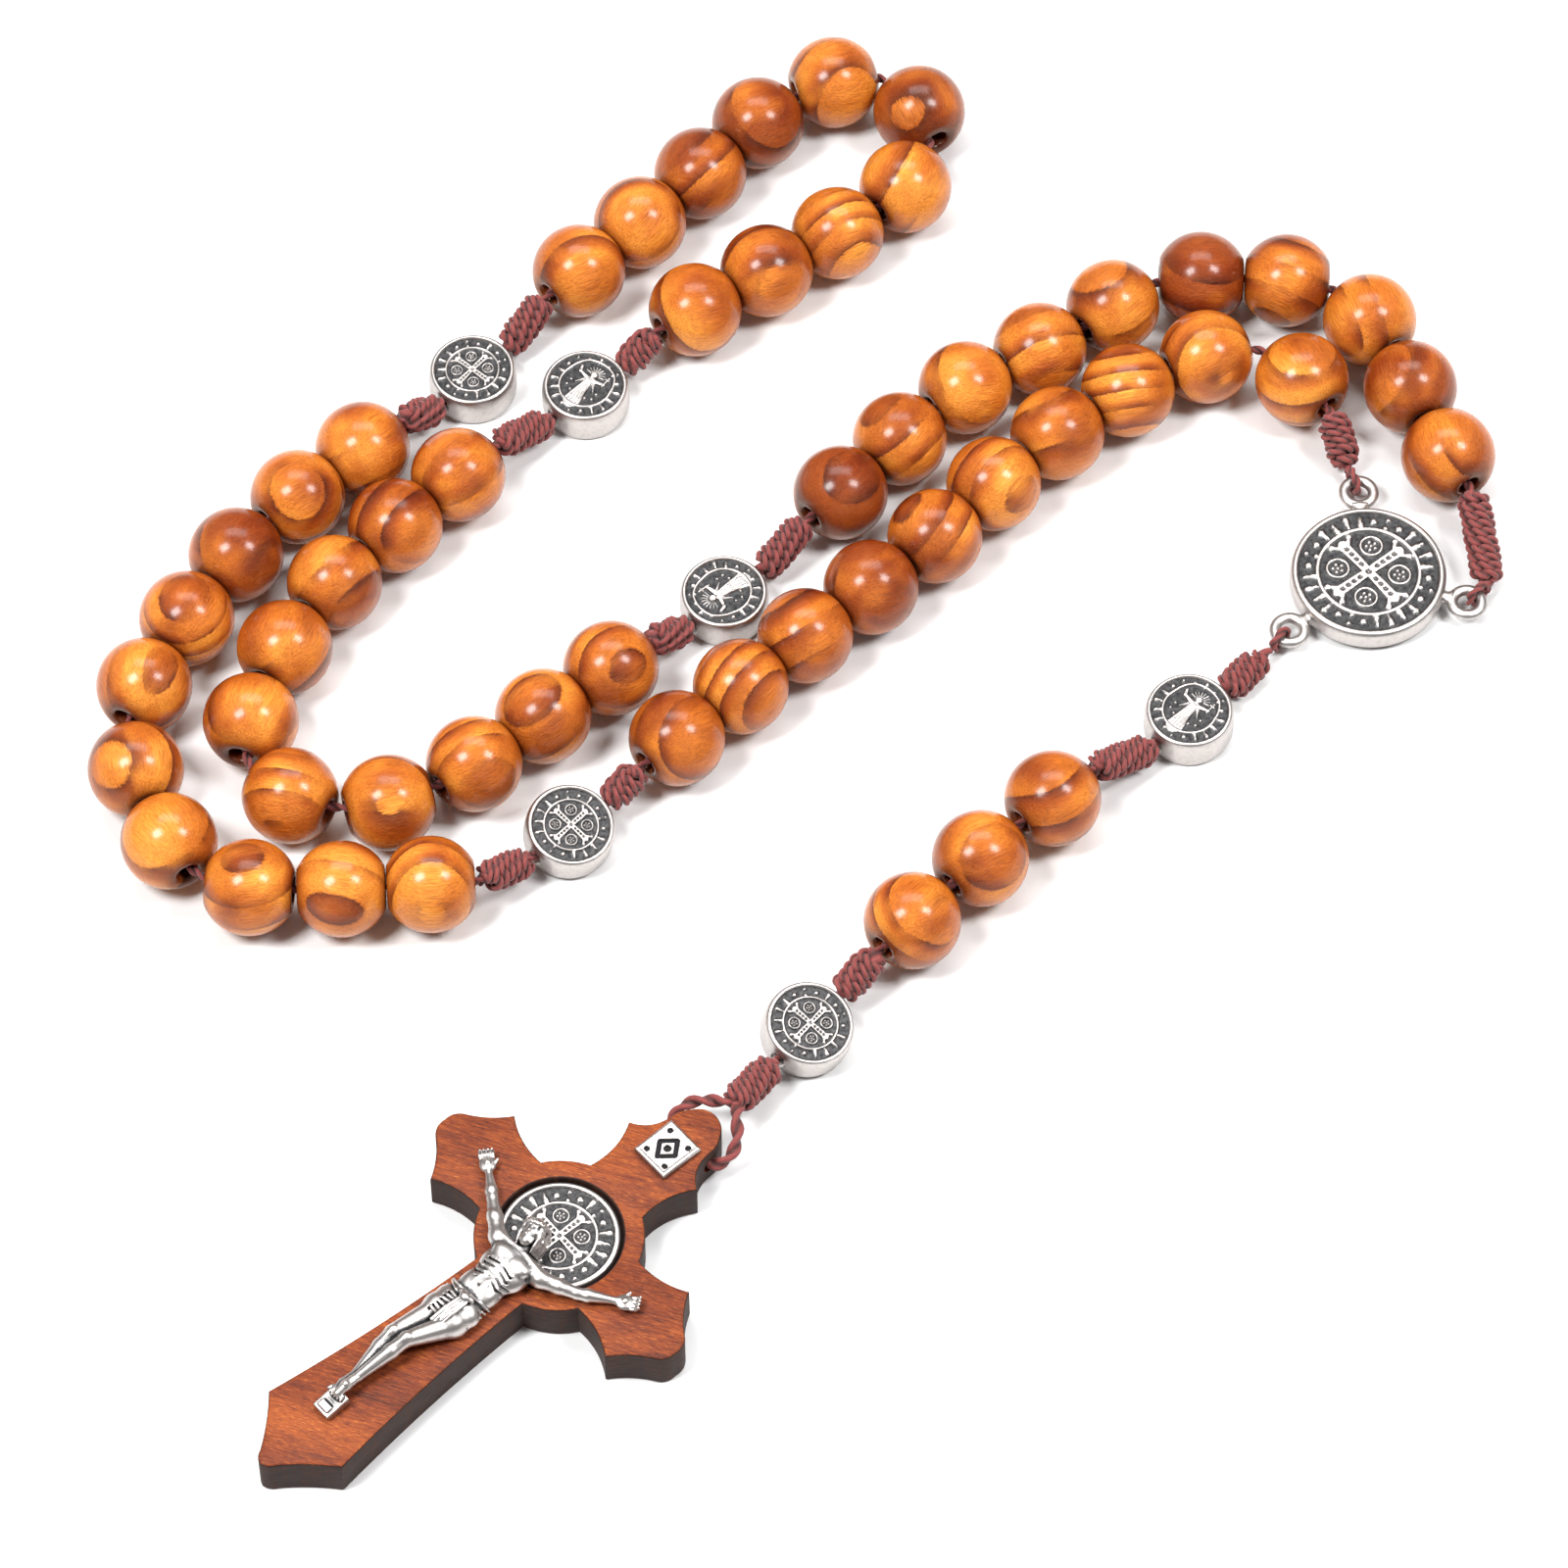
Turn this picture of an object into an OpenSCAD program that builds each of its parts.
// A five-decade cord rosary with a wooden crucifix, lying on a flat surface.
// Millimetres. +Z is up, the surface is Z = 0, and the origin is under the middle of the layout.

/* [Beads] */
// Diameter of a wooden bead
bead_d = 10; // [9.8:0.1:10.1]
// Length of a bead along its bore, between its two flats
bead_len = 9; // [8.8:0.1:9.1]
// Diameter of a bead's bore
bead_bore_d = 2.2; // [1.8:0.1:2.6]
// Clear space between two neighbouring beads on a straight stretch
bead_gap = 0.06; // [0.04:0.02:0.12]

/* [Cord] */
// Diameter of the twisted cord
cord_d = 1; // [0.8:0.05:1]
// Largest diameter of a wrapped knot
knot_d = 3.3; // [2.8:0.1:3.5]

/* [Medals] */
// Diameter of a medal bead
medal_d = 9.3; // [9:0.1:9.3]
// Thickness of a medal bead
medal_t = 4; // [3.6:0.1:4.2]
// Diameter of the three-way centrepiece without its eyelets
centre_d = 16.4; // [15.6:0.1:16.8]
// Thickness of the centrepiece
centre_t = 2.6; // [2:0.1:3]
// Diameter of the medal let into the cross
inlay_d = 12.2; // [11.6:0.1:12.4]

/* [Crucifix] */
// Thickness of the wooden cross
cross_t = 5; // [4.8:0.1:5.4]
// Height of the cross above the middle of its hub
cross_up = 20.6; // [20:0.1:21]
// Depth of the cross below the middle of its hub
cross_down = 38.3; // [37:0.1:40]
// Reach of each side arm from the middle of the hub
cross_side = 17.6; // [17.2:0.1:18.5]

/* [Hidden] */
DECADES = 5;
DECADE_BEADS = 10;

wood = "peru";
dark_wood = "saddlebrown";
silver = "silver";
maroon = "brown";

// Fits
medal_clear = 0.4;       // from a medal bead's edge to the knot that holds it
knot_clear = 0.5;        // from a bead's flat to a sloping knot's end
fold_clear = 0.9;        // the same where a strand folds
swivel_clear = 0.1;      // from the pendant's eyelet loop to its neck
cord_bite = 0.5;         // length of cord inside each knot
bend_spare = 1.1;        // how much sharper than its route a bend between two beads may be
knot_end_r = 0.75;
medal_bore_d = 1.6;
medal_rim = 0.6;         // how far the flat faces stop short of the edge
medal_field = 0.3;       // depth of the sunk field of a medal's face
bead_r = bead_d / 2;
medal_r = medal_d / 2;
flat_r = sqrt(bead_r * bead_r - bead_len * bead_len / 4);    // radius of a bead's flats
flat_edge = asin(flat_r / bead_r);                           // angle of a flat's edge from the bore

// Eyelets of the centrepiece: rings of round wire, lifted off the surface by their cord loops
eye_ring_r = 1.55;
eye_wire_r = 0.52;
eye_reach = 10.7;        // from the middle of the centrepiece to the middle of an eyelet
eye_z = 1.75;
loop_r = 1.2;            // radius of the cord loop round an eyelet's wire
centre_at = [59.4, 19.7];
centre_turn = 38;        // direction of the centrepiece's upper side
eye_turns = [centre_turn + 55, centre_turn - 55, centre_turn + 180];
neck = 0.9;              // length of the twisted neck between an eyelet loop and its knot

// Medal beads: place, and roll about the bore. Four are on the loop and two on the pendant.
medal_at = [[-23.7, -12.3], [-34.5, 44.5], [-23, 43], [-7.9, 16.5], [40.5, 1.5], [0.3, -35.5]];
medal_roll = [-12, 0, 0, 0, 0, -14];

// The crucifix: place of the middle of its hub, and turn of its upper end from +Y
cross_at = [-24, -60.4];
cross_turn = -48.6;
loop_hole_y = 17.4;      // the side-to-side hole, above the middle of the hub
loop_hole_d = 2;
loop_top = 5.6;          // from the hole to the knot above it
loop_tilt = 20;          // how far the loop leans up from the cross

function eye_hole(i) = centre_at + eye_reach * [cos(eye_turns[i]), sin(eye_turns[i])];
function cross_point(x, y) = cross_at + [x * cos(cross_turn) - y * sin(cross_turn),
                                         x * sin(cross_turn) + y * cos(cross_turn)];

// Routes over the surface: five decades, then the pendant's three stretches
routes = [
    [eye_hole(0), [56, 38.5], [51, 46.5], [45.5, 47.5], [27, 36], [12, 20.5], [0, 10], [-13.5, -3],
     medal_at[0]],
    [medal_at[0], [-33, -19.5], [-39, -20], [-55, -20.5], [-65.5, -17.5], [-67, -3.5],
     [-70, -0.5], [-58.5, 21.5], [-47, 33], medal_at[1]],
    [medal_at[1], [-28, 52.5], [-8.5, 72], [-4.5, 78.5], [11, 84], [15.5, 70.5], [8, 64.5],
     [-11, 52], medal_at[2]],
    [medal_at[2], [-37, 29.5], [-48.5, 17.5], [-55, 6], [-57, -1], [-57, -9], [-43, -11.5],
     [-32, -4], [-20, 6], medal_at[3]],
    [medal_at[3], [7, 31], [16.5, 41.5], [32.5, 50.5], [38.5, 56.5], [52.5, 55], [61, 54],
     [64.5, 40.5], [73, 22.5], eye_hole(1)],
    [eye_hole(2), medal_at[4]],
    [medal_at[4], [25, -10], [11, -24.5], medal_at[5]],
    [medal_at[5], cross_point(0, loop_hole_y + loop_top * cos(loop_tilt))]];

// Each route: the length from its start to its first knot, the length of that knot, the clear
// space after it, the number of beads, the clear space after them, the length from the last
// knot to the route's end, and the slack between neighbouring beads
eye_lead = eye_ring_r + loop_r + cord_d / 2 + 0.05;
medal_lead = medal_r + medal_clear;
strands = [
    [eye_lead, 5.4, knot_clear, DECADE_BEADS, knot_clear, medal_lead, 0],
    [medal_lead, 6.4, knot_clear, DECADE_BEADS, fold_clear, medal_lead, 0],
    [medal_lead, 6.4, knot_clear, DECADE_BEADS, knot_clear, medal_lead, 0],
    [medal_lead, 7.6, fold_clear, DECADE_BEADS, knot_clear, medal_lead, 0],
    [medal_lead, 6.8, knot_clear, DECADE_BEADS, knot_clear, eye_lead, 0],
    [eye_lead + swivel_clear + neck, 0, 0, 0, 0, medal_lead, 0],
    [medal_lead, 8, fold_clear, 3, knot_clear, medal_lead, 1.1],
    [medal_lead, 0, 0, 0, 0, 0, 0]];
pendant_stretch = 6;

// ---- Smooth routes: a Catmull-Rom curve, and the distance run along it ----
SMOOTH_STEPS = 12;
function unit(v) = v / norm(v);
function bend(a, b, c, d, t) =
    b + (c - a) * t / 2 + (2 * a - 5 * b + 4 * c - d) * t * t / 2 + (3 * b - a - 3 * c + d) * t * t * t / 2;
function smooth(p) =
    let (n = len(p), q = concat([2 * p[0] - p[1]], p, [2 * p[n - 1] - p[n - 2]]))
    concat([for (i = [0 : n - 2], k = [0 : SMOOTH_STEPS - 1])
            bend(q[i], q[i + 1], q[i + 2], q[i + 3], k / SMOOTH_STEPS)], [p[n - 1]]);
function runs(p) = [for (i = 0, s = 0; i < len(p);
                         s = s + (i < len(p) - 1 ? norm(p[i + 1] - p[i]) : 0), i = i + 1) s];
paths = [for (r = routes) smooth(r)];
path_runs = [for (p = paths) runs(p)];
function table(i, axis) = [for (k = [0 : len(paths[i]) - 1]) [path_runs[i][k], paths[i][k][axis]]];
x_tables = [for (i = [0 : len(paths) - 1]) table(i, 0)];
y_tables = [for (i = [0 : len(paths) - 1]) table(i, 1)];
function total(i) = path_runs[i][len(path_runs[i]) - 1];
function place(i, s) = [lookup(s, x_tables[i]), lookup(s, y_tables[i])];

// ---- Beads along a route: each reaches as far from its neighbour as the bend there needs ----
// `before` is the run of the joint before the one at `s`
function turn_at(i, before, s) =
    let (p = place(i, s),
         way_in = unit(p - place(i, before)),
         way_out = unit(place(i, s + bead_d) - p))
    bend_spare * acos(min(1, way_in * way_out)) / 2;
function reach(half_turn) =
    half_turn < flat_edge ? bead_len / 2 + flat_r * tan(half_turn) : bead_r / cos(half_turn);
function reach_at(i, before, s, end) =
    end ? bead_len / 2 : reach(turn_at(i, before, s)) + (bead_gap + strands[i][6]) / 2;
// The run from a joint to the next, in a few corrections towards the chord that the bead needs
function stride(i, s, back, last, run, passes = 8) =
    let (chord = norm(place(i, s + run) - place(i, s)),
         short_by = back + reach_at(i, s, s + run, last) - chord)
    passes == 0 ? run : stride(i, s, back, last, run + short_by * 0.8, passes - 1);
function next_joint(i, before, s, k) =
    s + stride(i, s, reach_at(i, before, s, k == 0), k == strands[i][3] - 1, bead_len);
function joints(i) =
    [for (k = 0, before = 0, s = strands[i][0] + strands[i][1] + strands[i][2];
          k <= strands[i][3];
          now = s, s = next_joint(i, before, s, k), before = now, k = k + 1) s];
function bead_joints(i) = [for (s = joints(i)) place(i, s)];
function bead_at(i, k) =
    let (s = joints(i), a = place(i, s[k]), b = place(i, s[k + 1]))
    a + unit(b - a) * reach_at(i, k == 0 ? 0 : s[k - 1], s[k], k == 0);
function bead_turn(i, k) = let (p = bead_joints(i), d = p[k + 1] - p[k]) atan2(d[1], d[0]);

// ---- Heights, medal beads and knots ----
function medal_z(m) =
    medal_t / 2 * cos(medal_roll[m]) + (medal_r - medal_rim) * sin(abs(medal_roll[m]));
function lift(p, z) = [p[0], p[1], z];
loop_foot = lift(cross_point(0, loop_hole_y), cross_t / 2);
loop_head = lift(routes[7][1], cross_t / 2 + loop_top * sin(loop_tilt));
start_z = [eye_z, medal_z(0), medal_z(1), medal_z(2), medal_z(3), eye_z, medal_z(4), medal_z(5)];
end_z = [medal_z(0), medal_z(1), medal_z(2), medal_z(3), eye_z, medal_z(4), medal_z(5), loop_head[2]];
function strand_start(i) = lift(place(i, strands[i][0]), start_z[i]);
function strand_end(i) = lift(place(i, total(i) - strands[i][5]), end_z[i]);
function knot_in(i) =
    [strand_start(i), lift(place(i, strands[i][0] + strands[i][1]), bead_r)];
function knot_out(i) =
    let (s = joints(i)) [lift(place(i, s[strands[i][3]] + strands[i][4]), bead_r), strand_end(i)];
function straight_knot(i) = [strand_start(i), strand_end(i)];
knots = concat([for (i = [0 : DECADES - 1]) each [knot_in(i), knot_out(i)]],
               [straight_knot(5), knot_in(6), knot_out(6), straight_knot(7)]);
// A medal bead's cord runs straight from the knot before it to the knot after it
medal_knots = [[1, 2], [3, 4], [5, 6], [7, 8], [10, 11], [12, 13]];
function medal_cord(m) = [knots[medal_knots[m][0]][1], knots[medal_knots[m][1]][0]];
function medal_centre(m) = (medal_cord(m)[0] + medal_cord(m)[1]) / 2;
function medal_turn(m) = let (c = medal_cord(m), d = c[1] - c[0]) atan2(d[1], d[0]);

// ---- Round solids between two points, and swept cords ----
module along(a, b) {
    d = b - a;
    translate(a)
        rotate([0, acos(d[2] / norm(d)), atan2(d[1], d[0])])
            children();
}

TUBE_SIDES = 8;
function tube_way(p, i) =
    i == 0 ? unit(p[1] - p[0])
    : i == len(p) - 1 ? unit(p[i] - p[i - 1])
    : unit(unit(p[i + 1] - p[i]) + unit(p[i] - p[i - 1]));
function tube_ring(p, i, r) =
    let (w = tube_way(p, i),
         u = unit(cross(abs(w[2]) < 0.9 ? [0, 0, 1] : [1, 0, 0], w)),
         v = cross(w, u))
    [for (k = [0 : TUBE_SIDES - 1])
        let (a = k * 360 / TUBE_SIDES) p[i] + r * (cos(a) * u + sin(a) * v)];
module tube(p, d) {
    n = len(p);
    polyhedron(
        points = [for (i = [0 : n - 1]) each tube_ring(p, i, d / 2)],
        faces = concat(
            [[for (k = [0 : TUBE_SIDES - 1]) k]],
            [for (i = [0 : n - 2], k = [0 : TUBE_SIDES - 1])
                let (a = i * TUBE_SIDES, j = (k + 1) % TUBE_SIDES)
                [a + TUBE_SIDES + k, a + TUBE_SIDES + j, a + j, a + k]],
            [[for (k = [TUBE_SIDES - 1 : -1 : 0]) (n - 1) * TUBE_SIDES + k]]));
}
// A piece of cord from a to b, run on into the knots at its ends
function bitten(a, b) = [a - cord_bite * unit(b - a), b + cord_bite * unit(b - a)];
// The end of a strand's cord: in its knot, or halfway to it where the strand folds
function cord_end(knot_end, joint, clear) =
    clear == fold_clear ? (knot_end + joint) / 2 : bitten(knot_end, joint)[0];

// ---- Beads ----
module bead(i, k) {
    color(wood)
        translate(lift(bead_at(i, k), bead_r))
            rotate([0, 90, bead_turn(i, k)])
                rotate_extrude($fn = 64)
                    intersection() {
                        circle(d = bead_d, $fn = 64);
                        translate([bead_bore_d / 2, -bead_len / 2]) square([bead_r, bead_len]);
                    }
}
module decade_beads(i) {
    for (k = [0 : DECADE_BEADS - 1])
        bead(i, k);
}

// ---- Knots and cords ----
module knot(k) {
    a = knots[k][0];
    b = knots[k][1];
    length = norm(b - a);
    color(maroon)
        along(a, b)
            rotate_extrude($fn = 48)
                polygon([[0, 0], [knot_end_r, 0], [knot_d / 2 - 0.2, 0.6], [knot_d / 2, 1.6],
                         [knot_d / 2, length - 1.6], [knot_d / 2 - 0.2, length - 0.6],
                         [knot_end_r, length], [0, length]]);
}
module bead_cord(i, before, after) {
    way = [for (p = bead_joints(i)) lift(p, bead_r)];
    first = cord_end(before, way[0], strands[i][2]);
    last = cord_end(after, way[len(way) - 1], strands[i][4]);
    color(maroon) tube(concat([first], way, [last]), cord_d);
}
module decade_cord(i) {
    bead_cord(i, knots[2 * i][1], knots[2 * i + 1][0]);
}
module pendant_cord() {
    bead_cord(pendant_stretch, knots[11][1], knots[12][0]);
}
module medal_cord_piece(m) {
    c = medal_cord(m);
    color(maroon) tube(bitten(c[0], c[1]), cord_d);
}

// The cord loops round the eyelets, each facing along its route
eye_routes = [0, 4, 5];
function loop_way(eye) =
    let (i = eye_routes[eye])
    unit(place(i, i == 4 ? total(i) - eye_lead : eye_lead) - eye_hole(eye));
module eyelet_loop(eye) {
    way = loop_way(eye);
    color(maroon)
        translate(lift(eye_hole(eye) + eye_ring_r * way, eye_z))
            rotate([90, 0, atan2(way[1], way[0])])
                rotate_extrude($fn = 48) translate([loop_r, 0]) circle(d = cord_d * 0.96, $fn = 24);
}
module necked_loop(eye, knot_end) {
    way = loop_way(eye);
    start = lift(eye_hole(eye) + (eye_ring_r + loop_r) * way, eye_z);
    eyelet_loop(eye);
    color(maroon)
        along(start, knot_end) cylinder(d = cord_d, h = norm(knot_end - start) + cord_bite, $fn = 24);
}
module pendant_neck() {
    start = lift(eye_hole(2) + (eye_lead + swivel_clear) * loop_way(2), eye_z);
    color(maroon) along(start, strand_start(5)) cylinder(d = cord_d + 0.3, h = neck + 0.2, $fn = 32);
}

// ---- Medals ----
module medal_disc(r, t, rim, field) {
    rotate_extrude($fn = 96)
        polygon([[0, field - t / 2], [r - 2 * rim, field - t / 2], [r - 2 * rim, -t / 2],
                 [r - rim, -t / 2], [r, -t / 4], [r, t / 4], [r - rim, t / 2],
                 [r - 2 * rim, t / 2], [r - 2 * rim, t / 2 - field], [0, t / 2 - field]]);
}
module medal_bead(m) {
    color(silver)
        translate(medal_centre(m))
            rotate([0, 0, medal_turn(m)])
                rotate([medal_roll[m], 0, 0])
                    difference() {
                        medal_disc(medal_r, medal_t, medal_rim, medal_field);
                        rotate([0, 90, 0])
                            cylinder(d = medal_bore_d, h = medal_d + 1, center = true, $fn = 32);
                    }
}
module eyelet() {
    stem = centre_d / 2 - 0.4;
    translate([eye_reach, 0, 0])
        rotate_extrude($fn = 64) translate([eye_ring_r, 0]) circle(r = eye_wire_r, $fn = 32);
    translate([stem, 0, 0])
        rotate([0, 90, 0]) cylinder(r = eye_wire_r * 1.3, h = eye_reach - eye_ring_r - stem, $fn = 32);
}
module centrepiece() {
    color(silver)
        translate(lift(centre_at, eye_z)) {
            medal_disc(centre_d / 2, centre_t, 0.5, medal_field);
            for (t = eye_turns)
                rotate([0, 0, t]) eyelet();
        }
}

// ---- Crucifix ----
// Points from p towards q, on a curve that stands `sag` to the left of the straight line
function bow(p, q, sag, n = 6) =
    let (d = unit(q - p), left = [-d[1], d[0]])
    [for (k = [0 : n - 1]) let (t = k / n) p + t * (q - p) + 4 * sag * t * (1 - t) * left];
hub_r = 8.5;
function hub_point(a) = hub_r * [cos(a), sin(a)];
function hub_arc(from, to, n = 5) = [for (k = [0 : n - 1]) hub_point(from + (to - from) * k / n)];
neck_angle = 62;
foot_neck_angle = 66;
arm_angle = 28;
arm_corner = [13.3, 5.5];
arm_tip = [cross_side - 0.8, 1.9];
top_corner = [5.2, 13.6];
foot_corner = [5.6, 5.7 - cross_down];
foot_tip = [1.2, 1 - cross_down];
cross_half = concat(
    bow([0, cross_up], [2.2, cross_up - 1.4], 0.35),
    bow([2.2, cross_up - 1.4], [2.9, loop_hole_y + 0.3], 0.1),
    bow([2.9, loop_hole_y - 0.3], top_corner, -0.6),
    bow(top_corner, hub_point(neck_angle), -0.6),
    hub_arc(neck_angle, arm_angle),
    bow(hub_point(arm_angle), arm_corner, -0.5),
    bow(arm_corner, arm_tip, -0.3),
    bow(arm_tip, [cross_side, 0], 0.3),
    bow([cross_side, 0], [arm_tip[0], -arm_tip[1]], 0.3),
    bow([arm_tip[0], -arm_tip[1]], [arm_corner[0], -arm_corner[1]], -0.3),
    bow([arm_corner[0], -arm_corner[1]], hub_point(-arm_angle), -0.5),
    hub_arc(-arm_angle, -foot_neck_angle),
    bow(hub_point(-foot_neck_angle), foot_corner, -0.35),
    bow(foot_corner, foot_tip, -0.2),
    bow(foot_tip, [0, -cross_down], 0.2));
cross_outline = concat(
    cross_half,
    [[0, -cross_down]],
    [for (k = [len(cross_half) - 1 : -1 : 1]) [-cross_half[k][0], cross_half[k][1]]]);
recess_depth = 1.2;
recess_r = inlay_d / 2 + 0.35;
inlay_t = recess_depth - 0.1;
module in_cross_frame() {
    translate(lift(cross_at, 0)) rotate([0, 0, cross_turn]) children();
}
module wooden_cross() {
    color(dark_wood)
        in_cross_frame()
            difference() {
                linear_extrude(cross_t) polygon(cross_outline);
                translate([0, 0, cross_t - recess_depth])
                    cylinder(r = recess_r, h = recess_depth + 1, $fn = 96);
                translate([0, loop_hole_y, cross_t / 2])
                    rotate([0, 90, 0])
                        cylinder(d = loop_hole_d, h = 3 * top_corner[0], center = true, $fn = 32);
            }
}
module cross_medal() {
    color(silver)
        in_cross_frame()
            translate([0, 0, cross_t - recess_depth])
                rotate_extrude($fn = 96)
                    polygon([[0, 0], [inlay_d / 2, 0], [inlay_d / 2, inlay_t], [inlay_d / 2 - 0.6, inlay_t],
                             [inlay_d / 2 - 0.6, inlay_t - 0.2], [0, inlay_t - 0.2]]);
}
plate_size = [4.4, 4.9, 0.8];
module title_plate() {
    color(silver)
        in_cross_frame()
            translate([-plate_size[0] / 2, 14.2 - plate_size[1] / 2, cross_t]) cube(plate_size);
}

// The figure: rounded limbs between joints, cut flat where they lie on the cross
module limb(a, b, ra, rb) {
    hull() {
        translate(a) sphere(r = ra, $fn = 16);
        translate(b) sphere(r = rb, $fn = 16);
    }
}
module arm(side) {
    limb([side * 2.6, -5.2, 5.9], [side * 6.8, -3.3, 5.6], 0.9, 0.7);
    limb([side * 6.8, -3.3, 5.6], [side * 9.7, -0.9, 5.4], 0.7, 0.5);
    limb([side * 9.7, -0.9, 5.4], [side * 11.6, 0, 5.2], 0.6, 0.7);
}
module corpus() {
    color(silver)
        in_cross_frame()
            intersection() {
                union() {
                    limb([-0.5, -2, 6.2], [-0.4, -3.4, 6.3], 1.6, 1.3);
                    limb([-1.2, -6.3, 5.8], [1.3, -6.3, 5.8], 1.8, 1.8);
                    limb([0, -6.3, 5.8], [0, -11, 5.7], 2.2, 1.8);
                    limb([-1.1, -12.3, 5.6], [1.1, -12.3, 5.6], 1.7, 1.7);
                    limb([-1, -14.6, 5.6], [1.1, -14.6, 5.6], 1.6, 1.6);
                    limb([-1.3, -15.5, 5.6], [-1.5, -19.6, 6], 1.2, 1);
                    limb([-1.5, -19.6, 6], [-1, -26, 5.5], 1, 0.7);
                    limb([1.3, -15.5, 5.6], [-0.1, -19.2, 6.2], 1.2, 1);
                    limb([-0.1, -19.2, 6.2], [-0.1, -26, 5.6], 1, 0.7);
                    limb([-0.9, -26.3, 5.5], [-0.7, -28, 5.7], 0.8, 0.7);
                    translate([-1.6, -30.8, 5]) cube([2.8, 3.2, 1]);
                    arm(-1);
                    arm(1);
                }
                translate([-20, -40, cross_t]) cube([40, 60, 10]);
            }
}

// The cord loop through the cross: across the hole, out round both sides, and up to the knot
loop_side = [[2.6, 0], [3.5, 0.5], [3.8, 1.6], [3.5, 2.9],
             [2.6, 4.1], [1.5, 4.9], [0.75, 5.5], [0.55, 6.2]];
module crucifix_loop() {
    right = [for (p = loop_side) [p[0], p[1], 0]];
    left = [for (k = [len(loop_side) - 1 : -1 : 0]) [-loop_side[k][0], loop_side[k][1], 0]];
    color(maroon)
        translate(loop_foot)
            rotate([0, 0, cross_turn])
                rotate([loop_tilt, 0, 0])
                    tube(concat(left, right), cord_d);
}

centrepiece();
decade_beads(0);  // decade_1_beads
decade_beads(1);  // decade_2_beads
decade_beads(2);  // decade_3_beads
decade_beads(3);  // decade_4_beads
decade_beads(4);  // decade_5_beads
for (k = [0 : 2])
    bead(pendant_stretch, k);
for (m = [0 : 5])
    medal_bead(m);
for (k = [0 : 13])
    knot(k);
for (i = [0 : DECADES - 1])
    decade_cord(i);
for (m = [0 : 5])
    medal_cord_piece(m);
pendant_cord();
necked_loop(0, strand_start(0));  // left_eyelet_loop
necked_loop(1, strand_end(4));  // right_eyelet_loop
eyelet_loop(2);  // pendant_eyelet_loop
pendant_neck();
crucifix_loop();
wooden_cross();  // cross
cross_medal();
corpus();
title_plate();
